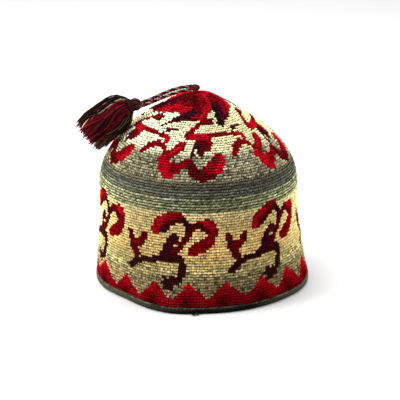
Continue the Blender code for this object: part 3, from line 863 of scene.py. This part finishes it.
def hem_point(turn, azimuth, inset):
    """Oval section carried round the foot of the fabric: out = cos(turn) * width, up = sin(turn) * height."""
    out = (HEM_OVAL[0] - inset) * np.cos(turn)
    up = HEM_OVAL[1] + (HEM_OVAL[1] - inset) * np.sin(turn)
    return point_at(HEM_RADIUS + out + dents_at(azimuth, HEM_HEIGHT / 2), azimuth, up)


turns = np.linspace(0, math.tau, HEM_SIDES, endpoint=False)
azimuths = np.linspace(0, math.tau, HEM_STEPS, endpoint=False)
azimuth_grid, turn_grid = np.meshgrid(azimuths, turns, indexing="ij")
slant = HEM_WRAPS * azimuth_grid / 2 + HEM_SLANT * np.cos(turn_grid)
inset = HEM_GROOVE * (1 - np.abs(np.sin(slant)) ** 0.7)
hem_points = hem_point(turn_grid, azimuth_grid, inset)
hem_faces = grid_quads(HEM_STEPS + 1, HEM_SIDES)[..., (0, 3, 2, 1)] % (HEM_STEPS * HEM_SIDES)
# Pale patches round the hem, partly wear and partly a painted highlight: they lie only on the upper face of
# the roll, where the light falls.
wear_and_highlight = np.clip(0.5 + 0.5 * np.sin(azimuth_grid * 9 + 2 * np.sin(azimuth_grid * 4)), 0, 1)
wear_and_highlight = wear_and_highlight * np.exp(-(((turn_grid - WEAR_HIGHLIGHT_TURN) / WEAR_HIGHLIGHT_SPREAD) ** 2))
hem_side_light = np.interp(column_of(azimuth_grid), *HEM_SIDE_LIGHT)[..., None]
hem_dye = HEM_DARK + hem_side_light * (HEM_SIDE_LIT_DYE - HEM_DARK) + wear_and_highlight[..., None] * (0.6 + 0.5 * hem_side_light) * HEM_WEAR_AND_HIGHLIGHT
# Painted shade in the grooves between the wraps.
hem_dye = hem_dye * (1 - GROOVE_SHADE * (inset / HEM_GROOVE))[..., None]
hem_roll = surface_mesh("rolled_hem", hem_points, [hem_faces.reshape(-1, 4)], dye=hem_dye)
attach(hem_roll, "root")
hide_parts("hem_edging")
print("hem wraps:", HEM_WRAPS, "faces:", len(hem_roll.data.polygons))

# %% Chain above the hem
CHAIN_LINKS = 190
CHAIN_TURN = 0.95
CHAIN_RADII = np.array((0, 0.5, 0.66, 0.5, 0)) * MM
CHAIN_DYES = np.array(((0.080, 0.042, 0.034), (0.090, 0.070, 0.052), (0.052, 0.038, 0.028)))
chain_share = np.array((-0.72, -0.42, 0.0, 0.42, 0.72))
chain_up = np.array((-0.5, -0.2, 0.0, 0.2, 0.5)) * MM
chain_out = np.array((0.1, 0.75, 0.95, 0.75, 0.1)) * MM
chain_azimuth = np.linspace(0, math.tau, CHAIN_LINKS, endpoint=False)
chain_turn = chain_azimuth[:, None] + chain_share * math.tau / CHAIN_LINKS
chain_base = hem_point(np.array(CHAIN_TURN), chain_turn, 0.0)
chain_away = unit(chain_base * (1, 1, 0))
chain_paths = chain_base + chain_away * (chain_out - 0.5 * MM)[:, None] + chain_up[:, None] * (0, 0, 1)
# Painted light: the chain is paler towards the sides of the cap too.
chain_side_light = 0.70 + 1.10 * np.interp(column_of(chain_azimuth), *HEM_SIDE_LIGHT)
chain_dye = CHAIN_DYES[chance.integers(0, 3, CHAIN_LINKS)] * chain_side_light[:, None]
hem_chain = yarns("hem_chain", chain_paths, CHAIN_RADII, chain_away, 5,
                  chance.normal(0, 1, CHAIN_LINKS), chain_dye)
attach(hem_chain, "root")
print("chain links:", CHAIN_LINKS)

# %% Fastened thread end
# The yarn of the edging ends in a small knot against the roll, with short tails that lie before it.
THREAD_PLACE = np.array((-5.6, -96.0, 0.9)) * MM
thread_share = np.linspace(0, 1, 12)
tail_ends = np.array(((-3.4, -1.6, -0.1), (3.0, -2.0, -0.1), (-0.8, -4.0, -0.2), (0.5, 2.2, 1.0))) * MM
tail_bend = np.array(((0, -1.6, 0.3), (0, -1.4, 0.4), (-0.9, 0, 0.2), (1.2, -1.2, 0.3))) * MM
thread_paths = (THREAD_PLACE + thread_share[None, :, None] * tail_ends[:, None]
                + np.sin(math.pi * thread_share)[None, :, None] * tail_bend[:, None])
thread_radii = 0.62 * MM * np.r_[0, 0.9, np.ones(8), 0.8, 0]
thread_end = yarns("hem_thread_end", thread_paths, thread_radii, (0, 0, 1), 6, np.zeros(4),
                   np.tile((0.020, 0.022, 0.015), (4, 1)))
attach(thread_end, "root")
print("thread tails:", len(thread_paths))

# %% [markdown]
# ## The crown knot and the tassel's head
# Both are balls wound with yarn. A ball is a set of great circles round an oval: each wrap has its
# own tilt, and the wraps lie over a plain core so that no light comes through.

# %% Wound balls
def wound_ball(name, centre, radii, axis, wraps, tilt, yarn, dyes, seed):
    """Wraps over an oval core: wrap point = centre + radii * (cos(t) * first + sin(t) * second)."""
    dice = np.random.default_rng(seed)
    axis = unit(np.array(axis, float))
    helper = unit(np.cross(axis, (0.3, 1.0, 0.2)))
    other = np.cross(axis, helper)
    start = np.linspace(0, math.pi, wraps, endpoint=False) + dice.normal(0, 0.05, wraps)
    first = unit(np.cos(start)[:, None] * helper + np.sin(start)[:, None] * other)
    lift = dice.normal(0, tilt, wraps)[:, None]
    second = unit(axis + lift * np.cross(first, axis))
    t = np.linspace(0, math.tau * 1.03, 30)
    sphere = np.cos(t)[None, :, None] * first[:, None] + np.sin(t)[None, :, None] * second[:, None]
    level = 1 - dice.uniform(0.0, 0.10, wraps)[:, None, None]
    paths = centre + (np.asarray(radii) - yarn) * level * sphere
    dye = np.array(dyes)[dice.integers(0, len(dyes), wraps)]
    ball = yarns(name, paths, np.full(30, yarn), sphere, 6, dice.normal(0, 1, wraps), dye)
    core_turn = np.linspace(0, math.tau, 24, endpoint=False)
    level = np.linspace(-1, 1, 15)[1:-1] * math.pi / 2
    flat, up = np.cos(level)[:, None], np.sin(level)[:, None]
    core = np.stack(np.broadcast_arrays(flat * np.cos(core_turn), flat * np.sin(core_turn), up), -1)
    shrink = (np.asarray(radii) - 1.7 * yarn)
    core_ball = closed_shell(name + "_core", centre + shrink * core, centre - (0, 0, shrink[2]),
                             centre + (0, 0, shrink[2]))
    for piece in (ball, core_ball):
        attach(piece, "root")
    print(name, "wraps:", wraps)
    return ball, core_ball


KNOT_CENTRE = np.array((-6.1, -0.4, 174.4)) * MM
KNOT_RADII = np.array((4.5, 4.2, 2.9)) * MM
HEAD_CENTRE = np.array((-58.7, -5.0, 160.3)) * MM
HEAD_RADII = np.array((5.9, 5.6, 5.8)) * MM
HEAD_AXIS = (-0.97, -0.12, -0.20)
knot, knot_core = wound_ball("crown_knot_wraps", KNOT_CENTRE, KNOT_RADII, (0.2, 0.1, 1.0), 15, 0.5,
                             0.75 * MM, ((0.060, 0.005, 0.006), (0.075, 0.014, 0.012), (0.015, 0.004, 0.003)),
                             3)
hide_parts("crown_knot")
head, head_core = wound_ball("tassel_head_wraps", HEAD_CENTRE, HEAD_RADII, HEAD_AXIS, 26, 0.12,
                             0.72 * MM, ((0.022, 0.004, 0.007), (0.036, 0.007, 0.010), (0.010, 0.004, 0.004),
                                         (0.085, 0.020, 0.026)), 8)

# %% [markdown]
# ## The tassel's skirt
# The skirt is a bundle of yarn ends. Each strand starts under the neck wraps, keeps its own place in
# the bundle's oval section, waves a little, and ends at its own length. The middle line and the oval
# of the bundle are the same as in the solid, so the tassel lies where the solid lies.

# %% Form and dyes of the skirt
SKIRT = np.array((
    # middle x, y, z, half width, half depth
    (-60.8, -5.5, 160.6, 3.6, 3.6), (-66.0, -7.0, 158.6, 12.0, 8.6), (-74.5, -8.5, 153.6, 17.2, 11.8),
    (-85.0, -9.0, 145.2, 18.0, 12.6), (-101.0, -9.0, 131.5, 17.4, 12.4),
)) * MM
STRANDS = 520
STRAND_POINTS = 14
STRAND_YARN = 0.70 * MM
LONGEST = 1.06
GOLDEN_TURN = 2.39996
TASSEL_DYES = np.array((
    (0.078, 0.002, 0.005), (0.038, 0.002, 0.004), (0.006, 0.003, 0.002), (0.045, 0.035, 0.021),
    (0.26, 0.006, 0.016), (0.20, 0.22, 0.16),
))


def skirt_frame(share):
    """Middle, half sizes and cross directions of the skirt at shares of its length."""
    middle = curve_through(chord_knots(SKIRT[:, :3]), SKIRT, share)
    along = unit(np.gradient(middle[:, :3], axis=0))
    across = unit(np.cross(along, (0.0, 1.0, 0.0)))
    return middle[:, :3], middle[:, 3], middle[:, 4], across, np.cross(across, along)

# %% Skirt strands
dice = np.random.default_rng(21)
grid_share = np.linspace(0, LONGEST, 64)
middle, wide, deep, across, depth_way = skirt_frame(grid_share)
seat = np.sqrt((np.arange(STRANDS) + 0.5) / STRANDS)
turn = np.arange(STRANDS) * GOLDEN_TURN
reach = 0.92 + 0.14 * dice.random(STRANDS) - 0.16 * dice.random(STRANDS) ** 3
reach = np.minimum(reach + 0.035 * np.sin(5 * turn) * seat, LONGEST)
share = np.linspace(0, 1, STRAND_POINTS) * reach[:, None]
swing = dice.normal(0, 1, (4, STRANDS, 1))
bundle_turn = turn[:, None] + 0.30 * swing[0] * share + 0.13 * np.sin(8 * share + 6 * swing[1])
bundle_seat = seat[:, None] * (0.95 + 0.05 * np.sin(9 * share + 5 * swing[2])) + 0.05 * swing[3] * share**2


def along_skirt(values, share):
    """Values of the skirt's frame at each strand's own shares."""
    return np.stack([np.interp(share, grid_share, column) for column in np.atleast_2d(values.T)], axis=-1)


spread_a = bundle_seat * np.cos(bundle_turn) * (along_skirt(wide, share)[..., 0] - STRAND_YARN)
spread_b = bundle_seat * np.sin(bundle_turn) * (along_skirt(deep, share)[..., 0] - STRAND_YARN)
strand_paths = (
    along_skirt(middle, share)
    + spread_a[..., None] * along_skirt(across, share)
    + spread_b[..., None] * along_skirt(depth_way, share)
)
strand_side = along_skirt(depth_way, share)
strand_sizes = 0.85 + 0.3 * dice.random((STRANDS, 1))
strand_radii = STRAND_YARN * np.r_[0, 0.8, np.ones(STRAND_POINTS - 4), 0.75, 0] * strand_sizes
dye_odds = np.array((0.36, 0.30, 0.24, 0.06, 0.04, 0.0))
strand_dye = TASSEL_DYES[dice.choice(len(TASSEL_DYES), STRANDS, p=dye_odds)]
top_strands = (np.cos(turn - 3.25) > 0.88) & (seat > 0.84)
strand_dye[top_strands] = TASSEL_DYES[dice.choice([2, 3, 5], top_strands.sum(), p=[0.76, 0.14, 0.10])]
low_strands = (np.cos(turn + 0.4) > 0.85) & (seat > 0.75)
strand_dye[low_strands] = TASSEL_DYES[dice.choice([1, 2, 3], low_strands.sum(), p=[0.30, 0.35, 0.35])]
frayed = 1 + np.linspace(0, 1, STRAND_POINTS) ** 12 * dice.uniform(0.0, 3.5, (STRANDS, 1))
skirt = yarns("tassel_skirt", strand_paths, strand_radii, strand_side, 5,
              dice.normal(0, 1, STRANDS), strand_dye, frayed)
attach(skirt, "root")
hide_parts("tassel")
print("strands:", STRANDS, "faces:", len(skirt.data.polygons))

# %% Neck wraps
NECK_SHARES = np.linspace(0.015, 0.075, 4)
NECK_POINTS = 34
NECK_YARN = 0.75 * MM
neck_turn = np.linspace(0, math.tau * 1.04, NECK_POINTS)[:, None]
neck_paths = []
for neck_share in NECK_SHARES:
    there = np.full(NECK_POINTS, neck_share)
    radius = along_skirt(wide, there)[:, :1] * 0.75 + 1.0 * MM
    ring_line = (np.cos(neck_turn) * along_skirt(across, there)
                 + np.sin(neck_turn) * along_skirt(depth_way, there))
    neck_paths.append(along_skirt(middle, there) + radius * ring_line)
neck_paths = np.array(neck_paths)
neck_side = unit(neck_paths - neck_paths.mean(1, keepdims=True))
neck = yarns("tassel_neck_wraps", neck_paths, np.full(NECK_POINTS, NECK_YARN), neck_side, 6,
             np.array((0.2, -0.4, 0.1, -0.1)), np.tile((0.026, 0.007, 0.008), (4, 1)))
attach(neck, "root")
print("neck wraps:", len(neck_paths))

# %% [markdown]
# ## Wool
# One shader group gives every yarn its twist and its fibres. It reads the yarn's own UV map, in
# which U runs along the yarn in millimetres and V once round it, so the plies turn round the yarn
# however it bends. A second, coarser noise on object coordinates varies the dye over the whole cap.

# %% Node helpers
def group_of(name, inputs, outputs):
    """An empty shader group with named sockets; inputs give name, kind and value."""
    group = bpy.data.node_groups.new(name, "ShaderNodeTree")
    for socket, kind, value in inputs:
        group.interface.new_socket(socket, in_out="INPUT", socket_type=kind).default_value = value
    for socket, kind in outputs:
        group.interface.new_socket(socket, in_out="OUTPUT", socket_type=kind)
    return group, group.nodes.new("NodeGroupInput"), group.nodes.new("NodeGroupOutput")


def join(tree, value, socket):
    """Link another node's socket into a socket, or set a steady value on it."""
    if isinstance(value, bpy.types.NodeSocket):
        tree.links.new(value, socket)
    else:
        socket.default_value = value


def put(tree, kind, inputs=(), **settings):
    """A new node with its own settings, and with its inputs joined by name or by number."""
    node = tree.nodes.new(kind)
    for setting, value in settings.items():
        setattr(node, setting, value)
    for socket, value in dict(inputs).items():
        join(tree, value, node.inputs[socket])
    return node


def math_node(tree, operation, *values):
    """Result of a Math node whose inputs are sockets or numbers."""
    return put(tree, "ShaderNodeMath", enumerate(values), operation=operation).outputs[0]


# %% Yarn twist group
twist, twist_in, twist_out = group_of(
    "yarn_twist",
    [("Color", "NodeSocketColor", (0.5, 0.5, 0.5, 1)), ("Plies", "NodeSocketFloat", 2.0),
     ("Twists per mm", "NodeSocketFloat", 0.25), ("Ply shade", "NodeSocketFloat", 0.35),
     ("Tone spread", "NodeSocketFloat", 0.10)],
    [("Color", "NodeSocketColor"), ("Height", "NodeSocketFloat")],
)
split = put(twist, "ShaderNodeSeparateXYZ", {0: put(twist, "ShaderNodeUVMap", uv_map="yarn").outputs[0]})
turns_along = math_node(twist, "MULTIPLY", split.outputs[0], twist_in.outputs["Twists per mm"])
turns_round = math_node(twist, "ADD", split.outputs[1], turns_along)
ply_turns = math_node(twist, "MULTIPLY", turns_round, twist_in.outputs["Plies"])
ply_wave = math_node(twist, "SINE", math_node(twist, "MULTIPLY", ply_turns, math.tau))
ply = math_node(twist, "MULTIPLY_ADD", ply_wave, 0.5, 0.5)
stretch = put(twist, "ShaderNodeCombineXYZ", {0: math_node(twist, "MULTIPLY", split.outputs[0], 0.8),
                                              1: math_node(twist, "MULTIPLY", turns_round, 9.0)})
fibre = put(twist, "ShaderNodeTexNoise", {"Vector": stretch.outputs[0], "Scale": 1.0, "Detail": 3.0})
tone_read = put(twist, "ShaderNodeAttribute", attribute_name="tone")
tone = math_node(twist, "MULTIPLY", tone_read.outputs["Fac"], twist_in.outputs["Tone spread"])
# Painted shade in the grooves between the plies, and painted light on their crests.
shade = math_node(twist, "MULTIPLY", math_node(twist, "SUBTRACT", ply, 0.65), twist_in.outputs["Ply shade"])
fine = math_node(twist, "MULTIPLY", math_node(twist, "SUBTRACT", fibre.outputs["Fac"], 0.5), 0.5)
level = math_node(twist, "ADD", math_node(twist, "ADD", math_node(twist, "ADD", shade, tone), fine), 1.0)
level = math_node(twist, "MAXIMUM", level, 0.15)
scaled = put(twist, "ShaderNodeVectorMath", {0: twist_in.outputs["Color"], "Scale": level}, operation="SCALE")
join(twist, scaled.outputs[0], twist_out.inputs["Color"])
height = math_node(twist, "ADD", ply, math_node(twist, "MULTIPLY", fibre.outputs["Fac"], 0.8))
join(twist, height, twist_out.inputs["Height"])
print("nodes of the twist group:", len(twist.nodes))

# %% Dye patches group
patches, patches_in, patches_out = group_of(
    "dye_patches",
    [("Color", "NodeSocketColor", (0.5, 0.5, 0.5, 1)), ("Tint", "NodeSocketColor", (0.7, 0.7, 0.7, 1)),
     ("Amount", "NodeSocketFloat", 0.25), ("Size", "NodeSocketFloat", 30.0)],
    [("Color", "NodeSocketColor")],
)
where = put(patches, "ShaderNodeTexCoord")
cloud = put(patches, "ShaderNodeTexNoise",
            {"Detail": 4.0, "Vector": where.outputs["Object"], "Scale": patches_in.outputs["Size"]})
rise = put(patches, "ShaderNodeMapRange",
           {"From Min": 0.42, "From Max": 0.68, "Value": cloud.outputs["Fac"]})
amount = math_node(patches, "MULTIPLY", rise.outputs[0], patches_in.outputs["Amount"])
fade = put(patches, "ShaderNodeMix",
           {0: amount, 6: patches_in.outputs["Color"], 7: patches_in.outputs["Tint"]},
           data_type="RGBA", blend_type="MULTIPLY")
join(patches, fade.outputs[2], patches_out.inputs["Color"])
print("nodes of the patches group:", len(patches.nodes))

# %% [markdown]
# A wool material places both groups in front of one Principled shader. Wool is rough and has a soft
# sheen from its loose fibres. Steady numbers are set on the shader itself; only what changes over
# the yarn comes through the groups.

# %% Wool materials
def principled(name, steady):
    """A material, its node tree and its Principled shader, with steady numbers on the shader itself."""
    material = bpy.data.materials.new(name)
    material.use_nodes = True
    shader = material.node_tree.nodes["Principled BSDF"]
    for socket, value in steady.items():
        shader.inputs[socket].default_value = value
    return material, material.node_tree, shader


def color_and_relief(tree, shader, color, height, strength, distance):
    """Join a color and the relief of a height into the shader."""
    relief = put(tree, "ShaderNodeBump", {"Strength": strength, "Distance": distance, "Height": height})
    join(tree, color, shader.inputs["Base Color"])
    join(tree, relief.outputs["Normal"], shader.inputs["Normal"])


def wool(name, tint, amount, ply_shade, tone_spread, sheen, sheen_tint):
    """Wool in the piece's own dye, which goes through the dye patches and then the twist."""
    material, tree, shader = principled(name, {
        "Roughness": 0.88, "Specular IOR Level": 0.03, "Sheen Weight": sheen, "Sheen Roughness": 0.5,
        "Sheen Tint": (*sheen_tint, 1)})
    dye = put(tree, "ShaderNodeAttribute", attribute_name="dye")
    patch = put(tree, "ShaderNodeGroup", {
        "Amount": amount, "Tint": (*tint, 1), "Color": dye.outputs["Color"]}, node_tree=patches)
    yarn = put(tree, "ShaderNodeGroup", {
        "Ply shade": ply_shade, "Tone spread": tone_spread, "Color": patch.outputs["Color"]}, node_tree=twist)
    color_and_relief(tree, shader, yarn.outputs["Color"], yarn.outputs["Height"], 0.5, 0.12 * MM)
    return material

# %% Wool of each yarn
WOOL_KINDS = {
    # yarn: tint of its faded places, share of fading, spread of tone, sheen, color of the sheen
    "cream": ((0.80, 0.78, 0.68), 0.7, 0.17, 0.15, (0.8, 0.7, 0.5)),
    "stone": ((0.72, 0.72, 0.66), 0.7, 0.42, 0.20, (0.6, 0.6, 0.45)),
    "sage": ((0.78, 0.74, 0.70), 0.7, 0.38, 0.30, (0.5, 0.5, 0.38)),
    "slate": ((0.75, 0.78, 0.80), 0.7, 0.28, 0.30, (0.5, 0.5, 0.38)),
    "ivory": ((0.84, 0.78, 0.70), 0.5, 0.14, 0.15, (0.8, 0.8, 0.6)),
    "red": ((0.62, 0.7, 0.8), 0.7, 0.14, 0.05, (0.5, 0.02, 0.04)),
    "crimson": ((0.60, 0.7, 0.8), 0.7, 0.18, 0.05, (0.3, 0.01, 0.02)),
    "maroon": ((1.4, 1.2, 1.2), 0.6, 0.20, 0.05, (0.3, 0.01, 0.02)),
    "plum": ((1.7, 1.2, 1.4), 0.6, 0.22, 0.05, (0.2, 0.01, 0.04)),
    "umber": ((1.8, 1.6, 1.4), 0.6, 0.22, 0.05, (0.2, 0.05, 0.03)),
}
wools = {
    yarn: wool(yarn + "_wool", tint, amount, 0.35, spread, sheen, sheen_tint)
    for yarn, (tint, amount, spread, sheen, sheen_tint) in WOOL_KINDS.items()
}
for piece, yarn_name in stitch_pieces.values():
    piece.data.materials.append(wools[yarn_name])
dyed_wool = wool("dyed_strand_wool", (0.6, 0.7, 0.7), 0.4, 0.5, 0.22, 0.05, (0.4, 0.1, 0.1))
for piece in (knot, head, skirt, neck, *(cord for cord, _, _ in cords.values())):
    piece.data.materials.append(dyed_wool)
edging_wool = wool("edging_wool", (0.6, 0.6, 0.55), 0.6, 0.4, 0.30, 0.1, (0.3, 0.3, 0.25))
for piece in (hem_chain, thread_end):
    piece.data.materials.append(edging_wool)
print("wool materials:", len({*wools.values(), dyed_wool, edging_wool}))

# %% Backing, hem and core wool
def felted(name, grain, color=None):
    """Close wool without separate yarns, in one color or in the piece's own dye: fine noise on object
    coordinates gives its color * (0.4 + 1.2 * noise) and its relief."""
    material, tree, shader = principled(
        name, {"Roughness": 0.92, "Specular IOR Level": 0.02, "Sheen Weight": 0.0})
    where = put(tree, "ShaderNodeTexCoord")
    noise = put(tree, "ShaderNodeTexNoise",
                {"Scale": grain, "Detail": 4.0, "Vector": where.outputs["Object"]})
    if color is None:
        color = put(tree, "ShaderNodeAttribute", attribute_name="dye").outputs["Color"]
    level = math_node(tree, "MULTIPLY_ADD", noise.outputs["Fac"], 1.2, 0.4)
    scaled = put(tree, "ShaderNodeVectorMath", {0: color, "Scale": level}, operation="SCALE")
    color_and_relief(tree, shader, scaled.outputs[0], noise.outputs["Fac"], 0.6, 0.3 * MM)
    return material


backing.data.materials.append(felted("gap_shade_wool", 900.0))
core_wool = felted("core_wool", 900.0, (0.03, 0.008, 0.009))
knot_core.data.materials.append(core_wool)
head_core.data.materials.append(core_wool)
hem_roll.data.materials.append(felted("hem_wool", 1500.0))
print("materials:", ", ".join(sorted(bpy.data.materials.keys())))

# %% [markdown]
# ## Floor and light
# The cap stands on a plain white sheet. Two large lamps stand left and right of it and one above,
# so the sides are brighter than the front, as in the photograph, and the shadow under the hem is soft.

# %% Floor
floor_mesh = bpy.data.meshes.new("floor")
floor_mesh.from_pydata([(-4, -4, 0), (4, -4, 0), (4, 5, 0), (-4, 5, 0)], [], [(0, 1, 2, 3)])
floor = bpy.data.objects.new("floor", floor_mesh)
bpy.context.scene.collection.objects.link(floor)
sheet, _, _ = principled("white_sheet", {"Base Color": (0.52, 0.52, 0.52, 1), "Roughness": 0.9})
floor_mesh.materials.append(sheet)
print("corners of the floor:", len(floor_mesh.vertices))

# %% Lights
LAMPS = (
    # name, place, size, power
    ("left_lamp", (-1.5, -0.45, 0.9), 0.8, 45),
    ("right_lamp", (1.6, -0.25, 0.8), 0.8, 25),
    ("top_lamp", (-0.25, 0.35, 1.9), 1.2, 48),
)
LAMPS_AIM = (0, 0, 0.08)
for name, lamp_place, size, power in LAMPS:
    lamp_data = bpy.data.lights.new(name, "AREA")
    lamp_data.size = size
    lamp_data.energy = power
    place_in_scene(name, lamp_data, lamp_place, LAMPS_AIM)
print("lamps:", len(LAMPS))
world = bpy.data.worlds.new("white_room")
world.use_nodes = True
world.node_tree.nodes["Background"].inputs["Color"].default_value = (1, 1, 1, 1)
world.node_tree.nodes["Background"].inputs["Strength"].default_value = 0.66
bpy.context.scene.world = world
